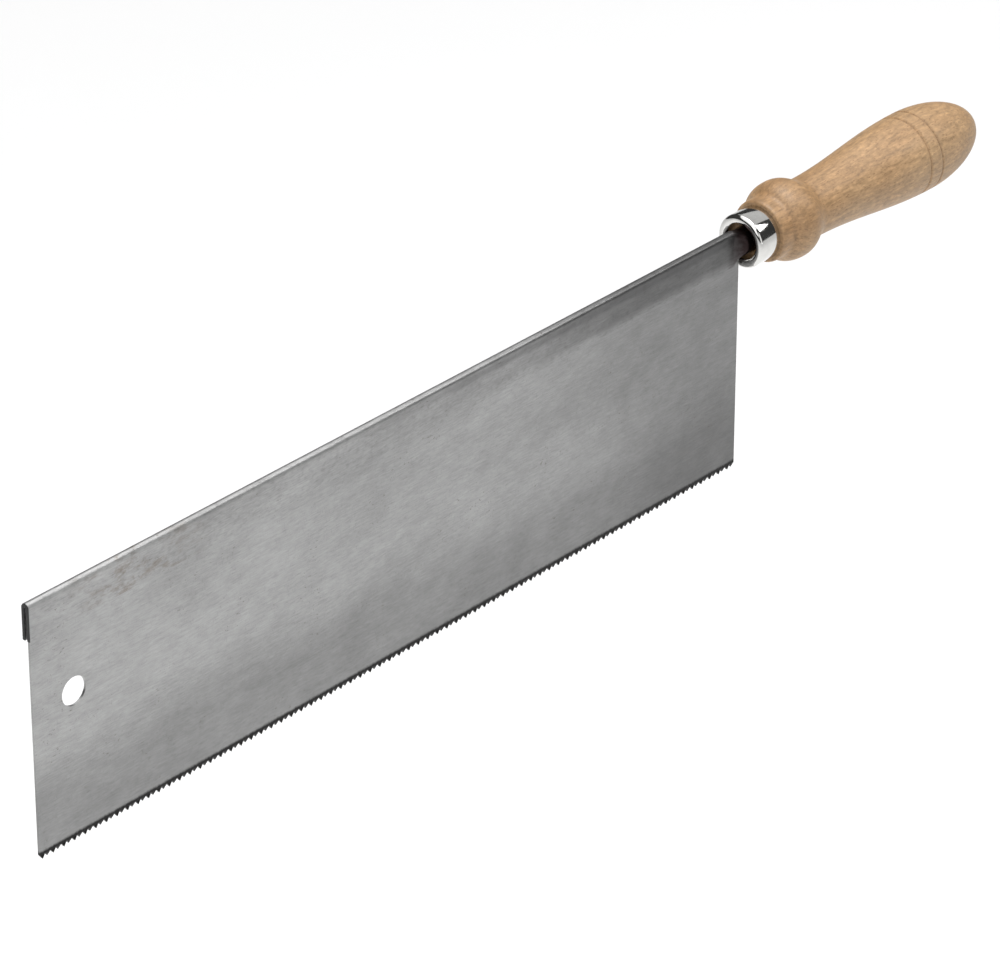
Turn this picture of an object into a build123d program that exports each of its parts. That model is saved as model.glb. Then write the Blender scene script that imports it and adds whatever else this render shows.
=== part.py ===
from build123d import *
import os

# Straight-handled back saw. Millimetres, +Z up (from the teeth to the back), +X from the
# toe of the blade to the end of the handle, +Y through the thickness of the plate.
# The origin is on the handle's axis, in the middle of the grip.

# ---- driving dimensions -------------------------------------------------------------

BLADE_LENGTH = 300.0          # toothed edge, toe to heel
SAW_DEPTH = 84.0              # tooth points to the top of the back
TOOTH_COUNT = 144             # 12 points to the inch
PLATE_THICKNESS = 0.8
HANG_HOLE_DIAMETER = 9.2
HANG_HOLE_FROM_TOE = 15.6
HANG_HOLE_BELOW_TOP = 35.5

STRIP_THICKNESS = 1.0         # sheet that the back is folded from
BACK_HEIGHT = 12.0
BACK_OVERHANG = 1.0           # how far the back stands past the toe of the plate
FLARE_LENGTH = 4.0            # the flat back opens into a round tang over this length
TANG_DIAMETER = 8.4
TANG_LENGTH = 33.0            # round part, most of it inside the handle
TANG_WALL = 1.0

AXIS_BELOW_TOP = 5.5          # handle axis under the top of the back
MOUTH_GAP = 0.5               # heel of the plate to the front of the ferrule
FERRULE_LENGTH = 9.4
FERRULE_FRONT_RADIUS = 8.8
FERRULE_REAR_RADIUS = 8.8
FERRULE_MOUTH_RADIUS = 5.8
FERRULE_WALL = 0.8

HANDLE_LENGTH = 103.5         # behind the ferrule
SHOULDER_RADIUS = 10.2
BEAD_RADIUS = 13.0
NECK_RADIUS = 9.8
FULL_RADIUS = 13.4            # the widest place of the handle's end
END_LENGTH = 29.0             # from the widest place to the tip, half an ellipse
GROOVES_FROM_FERRULE = (69.0, 74.5)
GROOVE_RADIUS = 0.5
NOSE_RECESS = 3.5             # the wood inside the ferrule ends this far from its mouth
SOCKET_CLEARANCE = 0.05
GRIP_FROM_FERRULE = 58.0      # middle of the grip, behind the ferrule

# ---- tooth form ---------------------------------------------------------------------

TOOTH_PITCH = BLADE_LENGTH / TOOTH_COUNT
TOOTH_DEPTH = 1.3
GULLET_FLAT = 0.12
TOOTH_POINT_SHARE = 0.42      # place of the point along the tooth, from its toe side
TOOTH_SET = 0.22              # sideways bend of each point, alternately left and right

# ---- places along and above the origin ----------------------------------------------

FERRULE_REAR_X = -GRIP_FROM_FERRULE
FERRULE_FRONT_X = FERRULE_REAR_X - FERRULE_LENGTH
HEEL_X = FERRULE_FRONT_X - MOUTH_GAP
TOE_X = HEEL_X - BLADE_LENGTH
FLARE_X = HEEL_X - FLARE_LENGTH
TOP_Z = AXIS_BELOW_TOP
TIP_Z = TOP_Z - SAW_DEPTH
GULLET_Z = TIP_Z + TOOTH_DEPTH
BACK_WIDTH = PLATE_THICKNESS + 2 * STRIP_THICKNESS
BACK_BOTTOM_Z = TOP_Z - BACK_HEIGHT


def tooth(index):
    """One pointed tooth, bent to the left or right from the gullet line down."""
    start_x = TOE_X + index * TOOTH_PITCH + GULLET_FLAT / 2
    end_x = start_x + TOOTH_PITCH - GULLET_FLAT
    point_x = start_x + TOOTH_POINT_SHARE * (end_x - start_x)
    side = 1 if index % 2 else -1
    face_y = -PLATE_THICKNESS / 2
    outline = Polyline(
        (start_x, face_y, GULLET_Z),
        (end_x, face_y, GULLET_Z),
        (point_x, face_y + side * TOOTH_SET, TIP_Z),
        close=True,
    )
    return extrude(make_face(outline), amount=PLATE_THICKNESS, dir=(0, 1, 0))


def saw_plate():
    """Flat steel plate with its teeth and the round hole it hangs by."""
    plate_top_z = TOP_Z - BACK_WIDTH / 2
    blank = Pos(
        (TOE_X + HEEL_X) / 2,
        0,
        (plate_top_z + GULLET_Z) / 2,
    ) * Box(BLADE_LENGTH, PLATE_THICKNESS, plate_top_z - GULLET_Z)
    hole = Pos(TOE_X + HANG_HOLE_FROM_TOE, 0, TOP_Z - HANG_HOLE_BELOW_TOP) * Rot(90, 0, 0)
    hole = hole * Cylinder(HANG_HOLE_DIAMETER / 2, 4 * PLATE_THICKNESS)
    teeth = [tooth(index) for index in range(TOOTH_COUNT)]
    return (blank - hole).fuse(*teeth)


def back_section():
    """Section of the folded strip: two leaves joined by a round crown, open below."""
    outer = BACK_WIDTH / 2
    inner = PLATE_THICKNESS / 2
    crown_z = TOP_Z - outer
    edge = 0.3
    path = [
        Line((inner, BACK_BOTTOM_Z), (outer - edge, BACK_BOTTOM_Z)),
        Line((outer - edge, BACK_BOTTOM_Z), (outer, BACK_BOTTOM_Z + edge)),
        Line((outer, BACK_BOTTOM_Z + edge), (outer, crown_z)),
        CenterArc((0, crown_z), outer, 0, 180),
        Line((-outer, crown_z), (-outer, BACK_BOTTOM_Z + edge)),
        Line((-outer, BACK_BOTTOM_Z + edge), (edge - outer, BACK_BOTTOM_Z)),
        Line((edge - outer, BACK_BOTTOM_Z), (-inner, BACK_BOTTOM_Z)),
        Line((-inner, BACK_BOTTOM_Z), (-inner, crown_z)),
        CenterArc((0, crown_z), inner, 0, 180),
        Line((inner, crown_z), (inner, BACK_BOTTOM_Z)),
    ]
    return make_face(path)


def folded_back():
    """Flat part of the steel strip, folded over the top edge of the plate."""
    front_x = TOE_X - BACK_OVERHANG
    across = Plane(origin=(front_x, 0, 0), x_dir=(0, 1, 0), z_dir=(1, 0, 0))
    return extrude(across * back_section(), amount=FLARE_X - front_x)


def tang():
    """Tail of the strip: it opens from the flat fold into a round tube for the handle."""
    flat_plane = Plane(
        origin=(FLARE_X, 0, TOP_Z - BACK_HEIGHT / 2), x_dir=(0, 1, 0), z_dir=(1, 0, 0)
    )
    round_plane = Plane(origin=(FERRULE_FRONT_X, 0, 0), x_dir=(0, 1, 0), z_dir=(1, 0, 0))
    nearly_half = 0.498
    flat_end = flat_plane * RectangleRounded(
        BACK_WIDTH, BACK_HEIGHT, nearly_half * BACK_WIDTH
    )
    round_end = round_plane * RectangleRounded(
        TANG_DIAMETER, TANG_DIAMETER, nearly_half * TANG_DIAMETER
    )
    flare = loft([flat_end, round_end])
    slot_top_z = TOP_Z - BACK_WIDTH / 2
    slot_height = slot_top_z - BACK_BOTTOM_Z + 1
    flare -= Pos(HEEL_X - FLARE_LENGTH / 2, 0, slot_top_z - slot_height / 2) * Box(
        FLARE_LENGTH, PLATE_THICKNESS, slot_height
    )

    tube = extrude(round_plane * Circle(TANG_DIAMETER / 2), amount=TANG_LENGTH)
    hollow_plane = Plane(
        origin=(FERRULE_FRONT_X + TANG_WALL, 0, 0), x_dir=(0, 1, 0), z_dir=(1, 0, 0)
    )
    hollow = extrude(
        hollow_plane * Circle(TANG_DIAMETER / 2 - TANG_WALL), amount=TANG_LENGTH
    )
    return flare + (tube - hollow)


def turned(outline):
    """Solid of revolution about the handle's axis, from an outline of (x, radius)."""
    return revolve(make_face(outline), axis=Axis.X)


def ferrule():
    """Drawn and plated cup whose front edge is rolled inwards around an open mouth."""
    front = FERRULE_FRONT_X
    rear = FERRULE_REAR_X
    wall = FERRULE_WALL
    roll_x = front + 1.5
    crest_radius = (FERRULE_FRONT_RADIUS + FERRULE_MOUTH_RADIUS) / 2
    outline = [
        Line((rear, FERRULE_REAR_RADIUS - wall), (rear, FERRULE_REAR_RADIUS)),
        Line((rear, FERRULE_REAR_RADIUS), (roll_x, FERRULE_FRONT_RADIUS)),
        ThreePointArc(
            (roll_x, FERRULE_FRONT_RADIUS),
            (front, crest_radius),
            (roll_x, FERRULE_MOUTH_RADIUS),
        ),
        Line((roll_x, FERRULE_MOUTH_RADIUS), (roll_x, FERRULE_MOUTH_RADIUS + wall * 0.6)),
        ThreePointArc(
            (roll_x, FERRULE_MOUTH_RADIUS + wall * 0.6),
            (front + wall, crest_radius),
            (roll_x, FERRULE_FRONT_RADIUS - wall),
        ),
        Line((roll_x, FERRULE_FRONT_RADIUS - wall), (rear, FERRULE_REAR_RADIUS - wall)),
    ]
    return turned(outline)


def handle_outline():
    """Half section of the turned handle as (x, radius), from the nose to the domed end."""
    nose_x = FERRULE_FRONT_X + NOSE_RECESS
    nose_front_radius = FERRULE_FRONT_RADIUS - FERRULE_WALL - SOCKET_CLEARANCE
    nose_rear_radius = FERRULE_REAR_RADIUS - FERRULE_WALL - SOCKET_CLEARANCE
    front = FERRULE_REAR_X
    end_x = front + HANDLE_LENGTH
    full_x = end_x - END_LENGTH
    shoulder_x = front + 1.6
    cove_x = front + 5.5
    bead_x = front + 12.0
    valley_x = front + 21.5
    return [
        Line((nose_x, 0), (nose_x, nose_front_radius)),
        Line((nose_x, nose_front_radius), (front, nose_rear_radius)),
        Line((front, nose_rear_radius), (front, SHOULDER_RADIUS - 0.8)),
        Bezier(
            (front, SHOULDER_RADIUS - 0.8),
            (front, SHOULDER_RADIUS - 0.2),
            (front + 0.7, SHOULDER_RADIUS),
            (shoulder_x, SHOULDER_RADIUS),
        ),
        Bezier(
            (shoulder_x, SHOULDER_RADIUS),
            (shoulder_x + 2.0, SHOULDER_RADIUS),
            (cove_x - 0.8, SHOULDER_RADIUS - 0.2),
            (cove_x, SHOULDER_RADIUS + 0.6),
        ),
        Bezier(
            (cove_x, SHOULDER_RADIUS + 0.6),
            (cove_x + 1.6, SHOULDER_RADIUS + 2.2),
            (bead_x - 3.4, BEAD_RADIUS),
            (bead_x, BEAD_RADIUS),
        ),
        Bezier(
            (bead_x, BEAD_RADIUS),
            (bead_x + 4.2, BEAD_RADIUS),
            (valley_x - 3.2, NECK_RADIUS),
            (valley_x, NECK_RADIUS),
        ),
        Bezier(
            (valley_x, NECK_RADIUS),
            (valley_x + 20.0, NECK_RADIUS),
            (full_x - 20.0, FULL_RADIUS),
            (full_x, FULL_RADIUS),
        ),
        EllipticalCenterArc((full_x, 0), END_LENGTH, FULL_RADIUS, start_angle=0, arc_size=90),
        Line((end_x, 0), (nose_x, 0)),
    ]


def handle():
    """Turned wooden handle with a blind socket for the tang and two fine grooves."""
    body = turned(handle_outline())
    nose_x = FERRULE_FRONT_X + NOSE_RECESS
    socket_plane = Plane(origin=(nose_x, 0, 0), x_dir=(0, 1, 0), z_dir=(1, 0, 0))
    socket_radius = TANG_DIAMETER / 2 + SOCKET_CLEARANCE
    body -= extrude(socket_plane * Circle(socket_radius), amount=TANG_LENGTH)
    for from_ferrule in GROOVES_FROM_FERRULE:
        ring_x = FERRULE_REAR_X + from_ferrule
        body -= Pos(ring_x, 0, 0) * Rot(0, 90, 0) * Torus(FULL_RADIUS, GROOVE_RADIUS)
    return body


def main():
    os.makedirs("parts", exist_ok=True)
    nodes = {
        "saw_plate": saw_plate(),
        "folded_back": folded_back(),
        "tang": tang(),
        "ferrule": ferrule(),
        "handle": handle(),
    }
    for name, solid in nodes.items():
        export_step(solid, f"parts/{name}.step")


main()
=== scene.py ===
"""Looks of a straight-handled back saw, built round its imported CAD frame.

The saw lies along X with its toe at -X and its teeth down. The CAD plate is kept and only
painted. The folded back with its tang, the ferrule and the handle are made again here.
"""

import math

import bmesh
import bpy
from mathutils import Matrix, Vector, geometry


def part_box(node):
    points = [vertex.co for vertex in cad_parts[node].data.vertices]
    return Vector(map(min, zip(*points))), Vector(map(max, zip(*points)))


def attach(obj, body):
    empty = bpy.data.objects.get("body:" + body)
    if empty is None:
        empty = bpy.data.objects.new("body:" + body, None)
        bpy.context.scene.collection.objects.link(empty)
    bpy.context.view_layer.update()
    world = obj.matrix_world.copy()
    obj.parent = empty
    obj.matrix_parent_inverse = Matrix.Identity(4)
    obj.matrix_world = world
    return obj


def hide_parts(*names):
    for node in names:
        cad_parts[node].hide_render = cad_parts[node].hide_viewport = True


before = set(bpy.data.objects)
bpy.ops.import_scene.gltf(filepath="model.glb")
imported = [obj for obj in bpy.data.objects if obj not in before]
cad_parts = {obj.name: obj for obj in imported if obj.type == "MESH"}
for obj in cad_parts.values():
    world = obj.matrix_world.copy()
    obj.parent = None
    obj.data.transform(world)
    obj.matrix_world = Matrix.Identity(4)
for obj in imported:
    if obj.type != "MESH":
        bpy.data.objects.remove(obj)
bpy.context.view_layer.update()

MM = 0.001

# ---- places and sizes, read from the frame --------------------------------------------

PLATE_LOW, PLATE_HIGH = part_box("saw_plate")
BACK_LOW, BACK_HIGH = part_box("folded_back")
TANG_LOW, TANG_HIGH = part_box("tang")
FERRULE_LOW, FERRULE_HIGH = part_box("ferrule")
HANDLE_LOW, HANDLE_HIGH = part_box("handle")

TOE_X, HEEL_X = PLATE_LOW.x, PLATE_HIGH.x
TIP_Z = PLATE_LOW.z
TOP_Z = BACK_HIGH.z
TANG_RADIUS = TANG_HIGH.y
FERRULE_REAR_RADIUS = FERRULE_HIGH.y
FULL_RADIUS = HANDLE_HIGH.y

# ---- sizes of the sheet, the ferrule and the handle, in metres ------------------------

PLATE_THICKNESS = 0.8 * MM
STRIP_THICKNESS = 1.0 * MM
BACK_WIDTH = PLATE_THICKNESS + 2 * STRIP_THICKNESS
STRIP_EDGE_ROUNDING = 0.12 * MM
SEAM_HALF_ANGLE = math.radians(3)

FERRULE_WALL = 0.8 * MM
FERRULE_FRONT_RADIUS = 8.8 * MM
FERRULE_MOUTH_RADIUS = 5.8 * MM
ROLL_DEPTH = 1.5 * MM
ROLL_INNER_DEPTH = 0.7 * MM
ROLL_THICKNESS = 0.48 * MM
REAR_EDGE_ROUNDING = 0.2 * MM

FIT_GAP = 0.05 * MM
NOSE_CHAMFER = 0.4 * MM
SOCKET_DEPTH = 33.0 * MM
SHOULDER_RADIUS = 10.2 * MM
SHOULDER_EDGE = 0.8 * MM
COVE_RADIUS = SHOULDER_RADIUS + 0.6 * MM
BEAD_RADIUS = 13.0 * MM
NECK_RADIUS = 9.8 * MM
END_LENGTH = 29.0 * MM
SHOULDER_FROM_FERRULE = 1.6 * MM
COVE_FROM_FERRULE = 5.5 * MM
BEAD_FROM_FERRULE = 12.0 * MM
VALLEY_FROM_FERRULE = 21.5 * MM
GROOVES_FROM_FERRULE = (69.0 * MM, 74.5 * MM)
GROOVE_RADIUS = 0.5 * MM

# ---- how finely the meshes are cut ----------------------------------------------------

POLE_RADIUS = 1e-7
TURNED_SEGMENTS = 192
SECTION_STEPS = 40
BACK_STEPS = 24
FLARE_STEPS = 20
FLOOR_SEGMENTS = 96


# ---- mesh helpers ---------------------------------------------------------------------

def new_piece(name, mesh_data, slot, *replaced):
    """Links a mesh as a piece that rides on the one body and stands for CAD nodes."""
    piece = bpy.data.objects.new(name, mesh_data)
    bpy.context.scene.collection.objects.link(piece)
    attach(piece, "root")
    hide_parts(*replaced)
    return piece


def as_mesh(made, name, smooth_below_deg=None):
    """Mesh data from a finished bmesh, with sharp edges above the given angle."""
    mesh_data = bpy.data.meshes.new(name)
    made.to_mesh(mesh_data)
    made.free()
    if smooth_below_deg is not None:
        mesh_data.shade_smooth()
        mesh_data.set_sharp_from_angle(angle=math.radians(smooth_below_deg))
    return mesh_data


def bezier(start, handle_1, handle_2, end, steps):
    """Points along a cubic curve in the (x, radius) plane, without its last point."""
    corners = [Vector((x, radius, 0)) for x, radius in (start, handle_1, handle_2, end)]
    found = geometry.interpolate_bezier(*corners, steps + 1)
    return [(p.x, p.y) for p in found[:-1]]


def arc(centre, radius_x, radius_y, start_deg, end_deg, steps):
    """Points along an elliptical arc in the (x, radius) plane, without its last point."""
    points = []
    for step in range(steps):
        angle = math.radians(start_deg + (end_deg - start_deg) * step / steps)
        points.append(
            (centre[0] + radius_x * math.cos(angle), centre[1] + radius_y * math.sin(angle))
        )
    return points


def bridge(made, ring, after):
    """Faces between two neighbouring rings of vertices, of which one may be a pole."""
    count = max(len(ring), len(after))
    for step in range(count):
        follow = (step + 1) % count
        if len(ring) == 1:
            made.faces.new((ring[0], after[step], after[follow]))
        elif len(after) == 1:
            made.faces.new((ring[step], after[0], ring[follow]))
        else:
            made.faces.new((ring[step], after[step], after[follow], ring[follow]))


def lathe(name, outline):
    """Solid turned about the X axis from (x, radius) points; radius 0 is a pole.

    An outline without poles is closed on itself, as a ring-shaped piece needs.
    """
    made = bmesh.new()
    rings = []
    for x, radius in outline:
        if radius < POLE_RADIUS:
            rings.append([made.verts.new((x, 0, 0))])
            continue
        ring = []
        for step in range(TURNED_SEGMENTS):
            angle = 2 * math.pi * step / TURNED_SEGMENTS
            ring.append(made.verts.new((x, radius * math.cos(angle), radius * math.sin(angle))))
        rings.append(ring)
    for ring, after in zip(rings, rings[1:]):
        bridge(made, ring, after)
    if len(rings[0]) > 1 and len(rings[-1]) > 1:
        bridge(made, rings[-1], rings[0])
    bmesh.ops.recalc_face_normals(made, faces=made.faces)
    return as_mesh(made, name, smooth_below_deg=40)


# ---- handle ---------------------------------------------------------------------------

def inside_of_handle():
    """Outline of the tang's blind socket and of the nose that sits in the ferrule."""
    nose_x = HANDLE_LOW.x
    socket_end_x = nose_x + SOCKET_DEPTH
    socket_radius = TANG_RADIUS + FIT_GAP
    nose_radius = FERRULE_FRONT_RADIUS - FERRULE_WALL - FIT_GAP
    nose_rear_radius = FERRULE_REAR_RADIUS - FERRULE_WALL - FIT_GAP
    return [
        (socket_end_x, 0),
        (socket_end_x, socket_radius),
        (nose_x + NOSE_CHAMFER, socket_radius),
        (nose_x, socket_radius + NOSE_CHAMFER),
        (nose_x, nose_radius - NOSE_CHAMFER),
        (nose_x + NOSE_CHAMFER, nose_radius),
        (FERRULE_HIGH.x, nose_rear_radius),
    ]


def handle_outline():
    """Half section of the turned handle, from its socket round to the domed end."""
    front = FERRULE_HIGH.x
    shoulder = (front + SHOULDER_FROM_FERRULE, SHOULDER_RADIUS)
    cove = (front + COVE_FROM_FERRULE, COVE_RADIUS)
    bead = (front + BEAD_FROM_FERRULE, BEAD_RADIUS)
    valley = (front + VALLEY_FROM_FERRULE, NECK_RADIUS)
    end_x = HANDLE_HIGH.x
    full = (end_x - END_LENGTH, FULL_RADIUS)
    points = inside_of_handle()
    points += bezier(
        (front, SHOULDER_RADIUS - SHOULDER_EDGE),
        (front, SHOULDER_RADIUS - 0.2 * MM),
        (front + 0.7 * MM, SHOULDER_RADIUS),
        shoulder,
        steps=10,
    )
    points += bezier(
        shoulder,
        (shoulder[0] + 2.0 * MM, SHOULDER_RADIUS),
        (cove[0] - 0.8 * MM, SHOULDER_RADIUS - 0.2 * MM),
        cove,
        steps=12,
    )
    points += bezier(
        cove,
        (cove[0] + 1.6 * MM, SHOULDER_RADIUS + 2.2 * MM),
        (bead[0] - 3.4 * MM, BEAD_RADIUS),
        bead,
        steps=20,
    )
    points += bezier(
        bead,
        (bead[0] + 4.2 * MM, BEAD_RADIUS),
        (valley[0] - 3.2 * MM, NECK_RADIUS),
        valley,
        steps=24,
    )
    points += bezier(
        valley,
        (valley[0] + 20.0 * MM, NECK_RADIUS),
        (full[0] - 20.0 * MM, FULL_RADIUS),
        full,
        steps=120,
    )
    points += arc((full[0], 0), END_LENGTH, FULL_RADIUS, 90, 0, steps=90)
    points.append((end_x, 0))
    return [(x, radius - groove_depth(x)) for x, radius in points]


def groove_depth(x):
    """Depth of the two fine turned grooves at a place along the handle."""
    depth = 0.0
    for from_ferrule in GROOVES_FROM_FERRULE:
        away = abs(x - FERRULE_HIGH.x - from_ferrule)
        if away < GROOVE_RADIUS:
            depth = max(depth, math.sqrt(GROOVE_RADIUS ** 2 - away ** 2))
    return depth


def make_handle():
    mesh_data = lathe("turned_handle", handle_outline())
    return new_piece("turned_handle", mesh_data, "beech", "handle")


# ---- ferrule --------------------------------------------------------------------------

def ferrule_outline():
    """Section of the drawn cup: side wall, rolled front edge and the return inside it."""
    rear = FERRULE_HIGH.x
    roll_x = FERRULE_LOW.x + ROLL_DEPTH
    crest = (FERRULE_FRONT_RADIUS + FERRULE_MOUTH_RADIUS) / 2
    half = (FERRULE_FRONT_RADIUS - FERRULE_MOUTH_RADIUS) / 2
    edge = REAR_EDGE_ROUNDING
    points = [
        (rear, FERRULE_REAR_RADIUS - FERRULE_WALL),
        (rear, FERRULE_REAR_RADIUS - edge),
        (rear - edge * 0.3, FERRULE_REAR_RADIUS - edge * 0.3),
        (rear - edge, FERRULE_REAR_RADIUS - edge * 0.05),
    ]
    points += arc((roll_x, crest), ROLL_DEPTH, half, 90, 270, steps=40)
    points += [
        (roll_x, FERRULE_MOUTH_RADIUS),
        (roll_x + 0.25 * MM, FERRULE_MOUTH_RADIUS + ROLL_THICKNESS / 2),
        (roll_x, FERRULE_MOUTH_RADIUS + ROLL_THICKNESS),
    ]
    points += arc((roll_x, crest), ROLL_INNER_DEPTH, half - ROLL_THICKNESS, 270, 90, steps=24)[1:]
    points.append((roll_x, FERRULE_FRONT_RADIUS - FERRULE_WALL))
    return points


def make_ferrule():
    mesh_data = lathe("plated_ferrule", ferrule_outline())
    return new_piece("plated_ferrule", mesh_data, "plated_steel", "ferrule")


# ---- folded back and its tang ---------------------------------------------------------

def folded_point(share):
    """A place on the middle line of the flat back: two leaves under a round crown."""
    crown = (PLATE_THICKNESS + STRIP_THICKNESS) / 2
    crown_z = TOP_Z - BACK_WIDTH / 2
    leaf = crown_z - BACK_LOW.z
    arc_length = math.pi * crown
    total = 2 * leaf + arc_length
    along = share * total
    if along < leaf:
        return (-crown, BACK_LOW.z + along)
    if along > leaf + arc_length:
        return (crown, BACK_LOW.z + total - along)
    angle = math.pi * (1 - (along - leaf) / arc_length)
    return (crown * math.cos(angle), crown_z + crown * math.sin(angle))


def tube_point(share):
    """A place on the middle line of the rolled tang, which is closed but for its seam."""
    turn = -math.pi / 2 - SEAM_HALF_ANGLE - share * (2 * math.pi - 2 * SEAM_HALF_ANGLE)
    radius = TANG_RADIUS - STRIP_THICKNESS / 2
    return (radius * math.cos(turn), radius * math.sin(turn))


def strip_section(openness):
    """Middle line of the strip as (y, z) points: openness 0 is flat, 1 is the tube."""
    blend = openness * openness * (3 - 2 * openness)
    points = []
    for step in range(SECTION_STEPS + 1):
        flat, tube = folded_point(step / SECTION_STEPS), tube_point(step / SECTION_STEPS)
        points.append(
            Vector((flat[0] + (tube[0] - flat[0]) * blend, flat[1] + (tube[1] - flat[1]) * blend))
        )
    return points


def thick_section(openness):
    """Closed outline of the strip: its outer face, then its inner face back again."""
    middle = strip_section(openness)
    outer, inner = [], []
    for index, point in enumerate(middle):
        before = middle[max(index - 1, 0)]
        after = middle[min(index + 1, len(middle) - 1)]
        along = (after - before).normalized()
        normal = Vector((-along.y, along.x))
        outer.append(point + normal * STRIP_THICKNESS / 2)
        inner.append(point - normal * STRIP_THICKNESS / 2)
    return outer + inner[::-1]


def back_stations():
    """(x, openness) pairs from the toe end of the back to the end of its tang."""
    flat, flare = TANG_LOW.x - BACK_LOW.x, FERRULE_LOW.x - TANG_LOW.x
    stations = [(BACK_LOW.x + flat * step / BACK_STEPS, 0.0) for step in range(BACK_STEPS + 1)]
    for step in range(1, FLARE_STEPS + 1):
        stations.append((TANG_LOW.x + flare * step / FLARE_STEPS, step / FLARE_STEPS))
    stations.append((TANG_HIGH.x, 1.0))
    return stations


def make_back():
    """The folded strip as one skin with thickness, open along its lower edges."""
    made = bmesh.new()
    rings = []
    for x, openness in back_stations():
        rings.append([made.verts.new((x, p.x, p.y)) for p in thick_section(openness)])
    for ring, after in zip(rings, rings[1:]):
        bridge(made, ring, after)
    last = len(rings[0]) - 1
    for ring in (rings[0], rings[-1]):
        for step in range(SECTION_STEPS):
            made.faces.new((ring[step], ring[step + 1], ring[last - 1 - step], ring[last - step]))
    bmesh.ops.recalc_face_normals(made, faces=made.faces)
    mesh_data = as_mesh(made, "folded_strip_back", smooth_below_deg=50)
    piece = new_piece("folded_strip_back", mesh_data, "back_steel", "folded_back", "tang")
    rounded = piece.modifiers.new("edges", "BEVEL")
    rounded.width = STRIP_EDGE_ROUNDING
    rounded.segments = 2
    rounded.limit_method = "ANGLE"
    rounded.angle_limit = math.radians(50)
    return piece


# ---- materials ------------------------------------------------------------------------

class Nodes:
    """Short calls for building one procedural material."""

    def __init__(self, name):
        self.material = bpy.data.materials.new(name)
        self.material.use_nodes = True
        self.tree = self.material.node_tree
        self.shader = self.tree.nodes["Principled BSDF"]
        self.place = self.tree.nodes.new("ShaderNodeTexCoord").outputs["Object"]

    def link(self, output, target):
        self.tree.links.new(output, target)

    def feed(self, value, socket):
        """Gives a socket another node's output, a number or a colour."""
        if hasattr(value, "is_output"):
            self.link(value, socket)
        elif isinstance(value, tuple):
            socket.default_value = (*value, 1)
        else:
            socket.default_value = value

    def scaled(self, scale, shift=(0, 0, 0)):
        node = self.tree.nodes.new("ShaderNodeMapping")
        node.inputs["Scale"].default_value = scale
        node.inputs["Location"].default_value = shift
        self.link(self.place, node.inputs["Vector"])
        return node.outputs["Vector"]

    def noise(self, scale, shift=(0, 0, 0), detail=3.0, roughness=0.5, distortion=0.0):
        """Cloudy values; the scale is in waves per metre along each axis."""
        vector = self.scaled(scale, shift)
        node = self.tree.nodes.new("ShaderNodeTexNoise")
        node.inputs["Scale"].default_value = 1.0
        node.inputs["Detail"].default_value = detail
        node.inputs["Roughness"].default_value = roughness
        node.inputs["Distortion"].default_value = distortion
        self.link(vector, node.inputs["Vector"])
        return node.outputs["Fac"]

    def cells(self, scale):
        """Distance to the nearest of many scattered points."""
        vector = self.scaled(scale)
        node = self.tree.nodes.new("ShaderNodeTexVoronoi")
        node.inputs["Scale"].default_value = 1.0
        self.link(vector, node.inputs["Vector"])
        return node.outputs["Distance"]

    def ramp(self, value, *stops):
        """Colour ramp from (position, grey or colour) stops."""
        node = self.tree.nodes.new("ShaderNodeValToRGB")
        ramp = node.color_ramp
        for index, (position, colour) in enumerate(stops):
            stop = ramp.elements[index] if index < 2 else ramp.elements.new(position)
            stop.position = position
            colour = (colour,) * 3 if isinstance(colour, (int, float)) else colour
            stop.color = (*colour, 1)
        self.link(value, node.inputs["Fac"])
        return node.outputs["Color"]

    def mix(self, first, second, factor, mode="MIX"):
        node = self.tree.nodes.new("ShaderNodeMix")
        node.data_type = "RGBA"
        node.blend_type = mode
        self.feed(factor, node.inputs[0])
        self.feed(first, node.inputs[6])
        self.feed(second, node.inputs[7])
        return node.outputs[2]

    def tinted(self, colour, tint):
        return self.mix(colour, tint, 1.0, "MULTIPLY")

    def overlaid(self, colour, pattern, contrast, amount):
        """The colour made lighter and darker by a pattern, about middle grey."""
        relief = self.ramp(pattern, (0.3, 0.5 - contrast), (0.7, 0.5 + contrast))
        return self.mix(colour, relief, amount, "OVERLAY")

    def math(self, kind, first, second=0.0):
        node = self.tree.nodes.new("ShaderNodeMath")
        node.operation = kind
        self.feed(first, node.inputs[0])
        self.feed(second, node.inputs[1])
        return node.outputs[0]

    def add(self, first, second):
        return self.math("ADD", first, second)

    def times(self, first, second):
        return self.math("MULTIPLY", first, second)

    def axis(self, letter):
        node = self.tree.nodes.new("ShaderNodeSeparateXYZ")
        self.link(self.place, node.inputs[0])
        return node.outputs[letter]

    def span(self, value, low, high, to_low=0.0, to_high=1.0):
        """The value brought from low..high to another range, and held inside it."""
        node = self.tree.nodes.new("ShaderNodeMapRange")
        for socket, amount in zip(node.inputs[1:5], (low, high, to_low, to_high)):
            socket.default_value = amount
        self.link(value, node.inputs[0])
        return node.outputs[0]

    def along_saw(self):
        """0 at the toe of the plate, 1 at its heel."""
        return self.span(self.axis("X"), TOE_X, HEEL_X)

    def bump(self, height, strength, distance):
        node = self.tree.nodes.new("ShaderNodeBump")
        node.inputs["Strength"].default_value = strength
        node.inputs["Distance"].default_value = distance
        self.link(height, node.inputs["Height"])
        self.link(node.outputs["Normal"], self.shader.inputs["Normal"])

    def set(self, **values):
        for name, value in values.items():
            self.feed(value, self.shader.inputs[name.replace("_", " ")])


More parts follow.
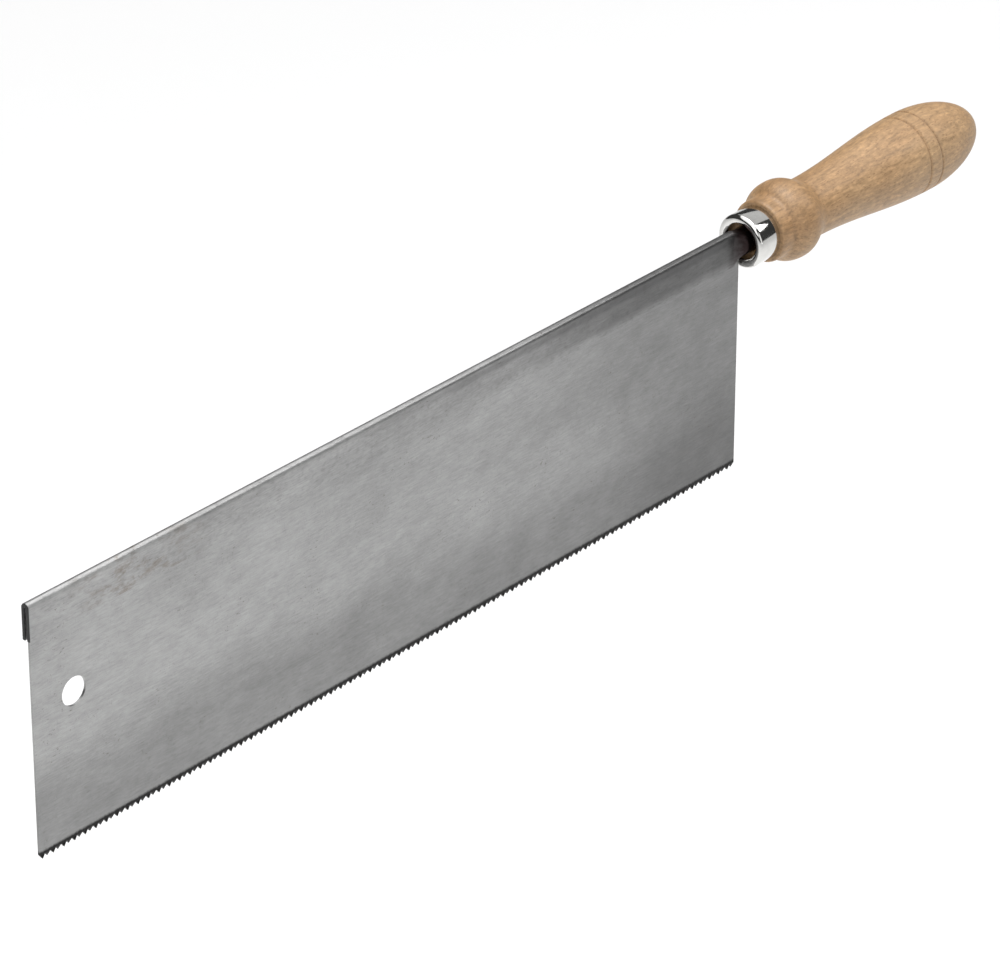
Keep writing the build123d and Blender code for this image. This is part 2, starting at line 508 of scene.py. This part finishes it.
# Where the marks lie: above the tooth tips, below the top, above the back's lower edge,
# behind the toe end of the plate or of the back, and before the heel.
TOOTH_LINE_ABOVE_TIPS = (1.9 * MM, 2.9 * MM)
SHADE_BAND_BELOW_TOP = (4.4 * MM, 1.3 * MM)
PLAIN_LOW_EDGE = 3.4 * MM
STAIN_FROM_TOE = (12 * MM, 70 * MM)
DARK_BEFORE_HEEL = (7 * MM, 1 * MM)
CUT_END_DEPTH = (0.15 * MM, 0.35 * MM)
GROOVE_DARK_WIDTH = (0.1 * MM, 0.45 * MM)

STEEL_DARK, STEEL_LIGHT = (0.30, 0.30, 0.298), (0.43, 0.43, 0.428)
SPECK_COLOUR = (0.12, 0.105, 0.09)
# Painted shade colour for the line along the teeth.
TOOTH_SHADE_COLOUR = (0.022, 0.021, 0.021)
CUT_END_COLOUR = (0.05, 0.05, 0.05)
# Painted shade colour for the band under the crown.
UNDER_CROWN_SHADE_COLOUR = (0.07, 0.07, 0.072)
STAIN_COLOUR = (0.17, 0.13, 0.095)
TANG_DARK_COLOUR = (0.030, 0.021, 0.021)
PLATING_DARK, PLATING_LIGHT = (0.60, 0.595, 0.575), (0.70, 0.695, 0.675)
WOOD_DARK, WOOD, WOOD_LIGHT = (0.285, 0.165, 0.076), (0.345, 0.212, 0.105), (0.40, 0.262, 0.142)
FLECK_COLOUR = (0.17, 0.09, 0.042)
GROOVE_COLOUR = (0.13, 0.07, 0.035)


def brushed(nodes):
    """Short fine streaks that run along the saw, as rolling and grinding leave them."""
    fine = nodes.noise((420, 5200, 5200), detail=2)
    medium = nodes.noise((160, 1900, 1900), detail=3, roughness=0.6)
    return nodes.add(nodes.times(fine, 0.55), nodes.times(medium, 0.45))


def rolled_steel(nodes):
    """Streak pattern and grey of a lightly ground sheet: clouds, streaks and rare specks.

    Painted shade makes it darker towards the heel and towards the teeth.
    """
    lines = brushed(nodes)
    clouds = nodes.noise((14, 14, 26), detail=5, roughness=0.6)
    mottle = nodes.noise((110, 110, 190), detail=4, roughness=0.65)
    tone = nodes.add(nodes.times(clouds, 0.6), nodes.times(mottle, 0.4))
    base = nodes.ramp(tone, (0.34, STEEL_DARK), (0.66, STEEL_LIGHT))
    # Painted shade: the base colour darker towards the heel and towards the teeth.
    heel_shade_ramp = nodes.ramp(
        nodes.along_saw(), (0.0, 1.0), (0.35, 0.95), (0.7, 0.88), (0.88, 0.68), (1.0, 0.61)
    )
    height = nodes.span(nodes.axis("Z"), TIP_Z, TOP_Z)
    teeth_shade_ramp = nodes.ramp(height, (0.06, 0.74), (0.22, 0.78), (0.42, 1.05), (0.7, 1.0), (1.0, 0.98))
    painted_shade_steel = nodes.tinted(nodes.tinted(base, heel_shade_ramp), teeth_shade_ramp)
    streaked = nodes.overlaid(painted_shade_steel, lines, contrast=0.16, amount=0.6)
    specks = nodes.ramp(nodes.noise((900, 900, 1400), detail=2), (0.66, 0), (0.74, 1))
    rare = nodes.ramp(nodes.noise((60, 60, 60), shift=(3, 1, 2), detail=2), (0.5, 0), (0.62, 0.6))
    return lines, nodes.mix(streaked, SPECK_COLOUR, nodes.times(specks, rare))


def plate_material():
    """Rolled steel with painted shade: a near-black line along the teeth, ragged at its upper
    limit.
    """
    nodes = Nodes("plate_steel")
    lines, steel = rolled_steel(nodes)
    # Painted shade: a near-black band just above the tooth tips.
    low, high = TOOTH_LINE_ABOVE_TIPS
    above_teeth = nodes.span(nodes.axis("Z"), TIP_Z + low, TIP_Z + high)
    tooth_shade_edge = nodes.span(nodes.noise((2600, 900, 900), detail=2), 0.3, 0.7, -0.18, 0.18)
    ragged = nodes.add(above_teeth, tooth_shade_edge)
    nodes.set(
        Base_Color=nodes.mix(TOOTH_SHADE_COLOUR, steel, nodes.ramp(ragged, (0.1, 0), (0.9, 1))),
        Metallic=1.0,
        Roughness=nodes.span(lines, 0.25, 0.75, 0.34, 0.48),
        Anisotropic=0.4,
    )
    nodes.bump(lines, 0.12, 0.05 * MM)
    return nodes.material


def shaded_back(nodes, steel):
    """Painted shade: the steel darker towards the heel, but for its lower edge, and in a band
    under the crown.
    """
    height = nodes.axis("Z")
    # Painted shade, which dims the crown's highlight too, grows towards the heel.
    darker = nodes.ramp(
        nodes.along_saw(), (0.0, 1.0), (0.5, 0.97), (0.68, 0.80), (0.82, 0.62), (1.0, 0.54)
    )
    low_edge = nodes.ramp(
        nodes.span(height, BACK_LOW.z, BACK_LOW.z + PLAIN_LOW_EDGE), (0.1, 1), (1.0, 0)
    )
    shaded = nodes.mix(nodes.tinted(steel, darker), steel, low_edge)
    # Painted shade: a dark band under the crown over the heel half.
    heel_half = nodes.ramp(nodes.along_saw(), (0.42, 0), (0.62, 0.55), (1.0, 0.75))
    low, high = SHADE_BAND_BELOW_TOP
    under_crown = nodes.ramp(
        nodes.span(height, TOP_Z - low, TOP_Z - high), (0.0, 0), (0.4, 1), (0.75, 1), (1.0, 0)
    )
    under_crown_shade = nodes.times(nodes.times(heel_half, under_crown), 0.65)
    return nodes.mix(shaded, UNDER_CROWN_SHADE_COLOUR, under_crown_shade)


def back_material():
    """The same rolled steel with painted shade, stained near the toe and dark where the tang is
    rolled.
    """
    nodes = Nodes("back_steel")
    lines, steel = rolled_steel(nodes)
    place = nodes.axis("X")
    patch = nodes.noise((150, 150, 320), shift=(0.5, 2, 1), detail=5, roughness=0.7)
    start, end = STAIN_FROM_TOE
    near_toe = nodes.ramp(
        nodes.span(place, TOE_X + start, TOE_X + end), (0.0, 0), (0.3, 1), (0.6, 1), (1.0, 0)
    )
    stain = nodes.times(nodes.ramp(patch, (0.50, 0), (0.66, 0.55)), near_toe)
    colour = nodes.mix(shaded_back(nodes, steel), STAIN_COLOUR, stain)
    # Darker from a little before the heel, over the flare and the tang.
    start, end = DARK_BEFORE_HEEL
    near_tang = nodes.span(place, HEEL_X - start, HEEL_X - end)
    tang_dark_edge = nodes.span(nodes.noise((500, 700, 700), detail=3), 0.3, 0.7, -0.15, 0.15)
    tang_darkening = nodes.ramp(nodes.add(near_tang, tang_dark_edge), (0.0, 0), (1.0, 1))
    colour = nodes.mix(colour, TANG_DARK_COLOUR, tang_darkening)
    start, end = CUT_END_DEPTH
    behind_cut = nodes.span(place, BACK_LOW.x + start, BACK_LOW.x + end)
    nodes.set(
        Base_Color=nodes.mix(CUT_END_COLOUR, colour, nodes.ramp(behind_cut, (0.0, 0), (1.0, 1))),
        Metallic=1.0,
        Roughness=nodes.span(lines, 0.25, 0.75, 0.34, 0.48),
    )
    nodes.bump(lines, 0.1, 0.05 * MM)
    return nodes.material


def plated_material():
    """Bright nickel, a little hazy and with faint rings from drawing."""
    nodes = Nodes("nickel_plate")
    haze = nodes.noise((300, 300, 300), detail=4)
    drawn = nodes.noise((4000, 300, 300), detail=2)
    nodes.set(
        Base_Color=nodes.ramp(haze, (0.3, PLATING_DARK), (0.7, PLATING_LIGHT)),
        Metallic=1.0,
        Roughness=nodes.span(haze, 0.3, 0.7, 0.06, 0.13),
    )
    nodes.bump(drawn, 0.05, 0.02 * MM)
    return nodes.material


def beech_material():
    """Turned beech: tan, with short brown flecks along the grain and a darker colour in the
    grooves.
    """
    nodes = Nodes("turned_beech")
    drift = nodes.noise((14, 40, 40), detail=3)
    grain = nodes.noise((150, 1000, 1000), detail=5, roughness=0.65, distortion=0.3)
    mottle = nodes.noise((620, 1100, 1100), detail=3, roughness=0.6)
    base = nodes.ramp(drift, (0.32, WOOD_DARK), (0.5, WOOD), (0.68, WOOD_LIGHT))
    grained = nodes.overlaid(base, grain, contrast=0.20, amount=0.75)
    mottled = nodes.overlaid(grained, mottle, contrast=0.17, amount=0.55)
    flecks = nodes.ramp(nodes.cells((420, 1500, 1500)), (0.10, 1), (0.26, 0))
    colour = nodes.mix(mottled, FLECK_COLOUR, nodes.times(flecks, 0.7))
    place = nodes.axis("X")
    # The colour darker in and beside each groove.
    for from_ferrule in GROOVES_FROM_FERRULE:
        away = nodes.math("ABSOLUTE", nodes.math("SUBTRACT", place, FERRULE_HIGH.x + from_ferrule))
        groove_dark = nodes.ramp(nodes.span(away, *GROOVE_DARK_WIDTH), (0.0, 0.3), (1.0, 0))
        colour = nodes.mix(colour, GROOVE_COLOUR, groove_dark)
    nodes.set(
        Base_Color=colour,
        Roughness=nodes.span(grain, 0.3, 0.7, 0.42, 0.58),
        Coat_Weight=0.06,
        Coat_Roughness=0.4,
    )
    nodes.bump(nodes.add(grain, nodes.times(flecks, -0.6)), 0.3, 0.06 * MM)
    return nodes.material


def floor_material():
    nodes = Nodes("pale_floor")
    white = 0.96
    tone = nodes.noise((2, 2, 2), detail=2)
    nodes.set(Base_Color=nodes.ramp(tone, (0.4, white * 0.99), (0.6, white)), Roughness=0.8)
    return nodes.material


def paint(piece, material):
    piece.data.materials.clear()
    piece.data.materials.append(material)


# ---- studio ---------------------------------------------------------------------------

FLOOR_RADIUS = 30.0
FLOOR_DROP = 0.5
ROOM_STRENGTH = 0.05
CEILING_STRENGTH = 2.4
LENS_MM, SENSOR_MM = 204.0, 36.0
CAMERA_PLACE = (-1.25816, -0.9824, 0.80585)
CAMERA_RIGHT = Vector((0.67275, -0.73987, 0.0011))
CAMERA_BACK = Vector((-0.64115, -0.58224, 0.49993))


def make_floor():
    made = bmesh.new()
    bmesh.ops.create_circle(made, cap_ends=True, segments=FLOOR_SEGMENTS, radius=FLOOR_RADIUS)
    floor = bpy.data.objects.new("floor", as_mesh(made, "floor"))
    floor.location.z = TIP_Z - FLOOR_DROP
    bpy.context.scene.collection.objects.link(floor)
    paint(floor, floor_material())


def make_world():
    """A dim room behind a white backdrop that only the camera sees.

    The plating then mirrors the lamps and the floor against dark.
    """
    world = bpy.data.worlds.new("studio")
    world.use_nodes = True
    bpy.context.scene.world = world
    tree = world.node_tree
    room = tree.nodes["Background"]
    room.inputs["Color"].default_value = (1.0, 1.0, 1.0, 1)
    room.inputs["Strength"].default_value = ROOM_STRENGTH
    backdrop = tree.nodes.new("ShaderNodeBackground")
    backdrop.inputs["Color"].default_value = (1.0, 1.0, 1.0, 1)
    seen = tree.nodes.new("ShaderNodeLightPath").outputs["Is Camera Ray"]
    chosen = tree.nodes.new("ShaderNodeMixShader")
    tree.links.new(seen, chosen.inputs[0])
    tree.links.new(room.outputs[0], chosen.inputs[1])
    tree.links.new(backdrop.outputs[0], chosen.inputs[2])
    tree.links.new(chosen.outputs[0], tree.nodes["World Output"].inputs["Surface"])


def area_light(name, place, aim, size, power):
    lamp = bpy.data.lights.new(name, "AREA")
    lamp.shape = "RECTANGLE"
    lamp.size, lamp.size_y = size
    lamp.energy = power
    holder = bpy.data.objects.new(name, lamp)
    holder.location = place
    holder.rotation_mode = "QUATERNION"
    holder.rotation_quaternion = (Vector(aim) - Vector(place)).to_track_quat("-Z", "Y")
    holder.visible_camera = False
    bpy.context.scene.collection.objects.link(holder)


def make_lights():
    """A wide even ceiling for the floor, and soft boxes that shape the saw."""
    ceiling = bpy.data.lights.new("ceiling", "SUN")
    ceiling.energy = CEILING_STRENGTH
    ceiling.angle = math.radians(50)
    holder = bpy.data.objects.new("ceiling", ceiling)
    bpy.context.scene.collection.objects.link(holder)
    heel = (-0.1, 0, 0)
    area_light("right_back", (1.2, 0.55, 1.45), aim=heel, size=(2.2, 1.6), power=7)
    area_light("overhead", (-0.35, 0, 0.65), aim=(-0.35, 0, 0), size=(1.3, 1.0), power=5.5)
    area_light("low_card", (-0.14, -0.42, 0.12), aim=(-0.36, 0, 0), size=(0.3, 0.3), power=0.3)
    area_light("right_front", (1.15, -0.80, 1.15), aim=heel, size=(0.5, 0.7), power=6)
    area_light("front_left", (-1.7, -1.2, 1.3), aim=heel, size=(1.4, 1.4), power=9)


def make_camera():
    """Long lens from the toe end, on the -Y side, above the saw."""
    camera_data = bpy.data.cameras.new("camera")
    camera_data.sensor_width = SENSOR_MM
    camera_data.lens = LENS_MM
    camera_data.clip_end = 100
    camera = bpy.data.objects.new("camera", camera_data)
    turned = Matrix((CAMERA_RIGHT, CAMERA_BACK.cross(CAMERA_RIGHT), CAMERA_BACK)).transposed()
    camera.matrix_world = Matrix.Translation(CAMERA_PLACE) @ turned.to_4x4()
    bpy.context.scene.collection.objects.link(camera)
    bpy.context.scene.camera = camera


# ---- the whole picture ----------------------------------------------------------------

bpy.context.scene.view_settings.view_transform = "Standard"
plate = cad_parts["saw_plate"]
paint(plate, plate_material())
paint(make_back(), back_material())
paint(make_ferrule(), plated_material())
paint(make_handle(), beech_material())
make_floor()
make_world()
make_lights()
make_camera()
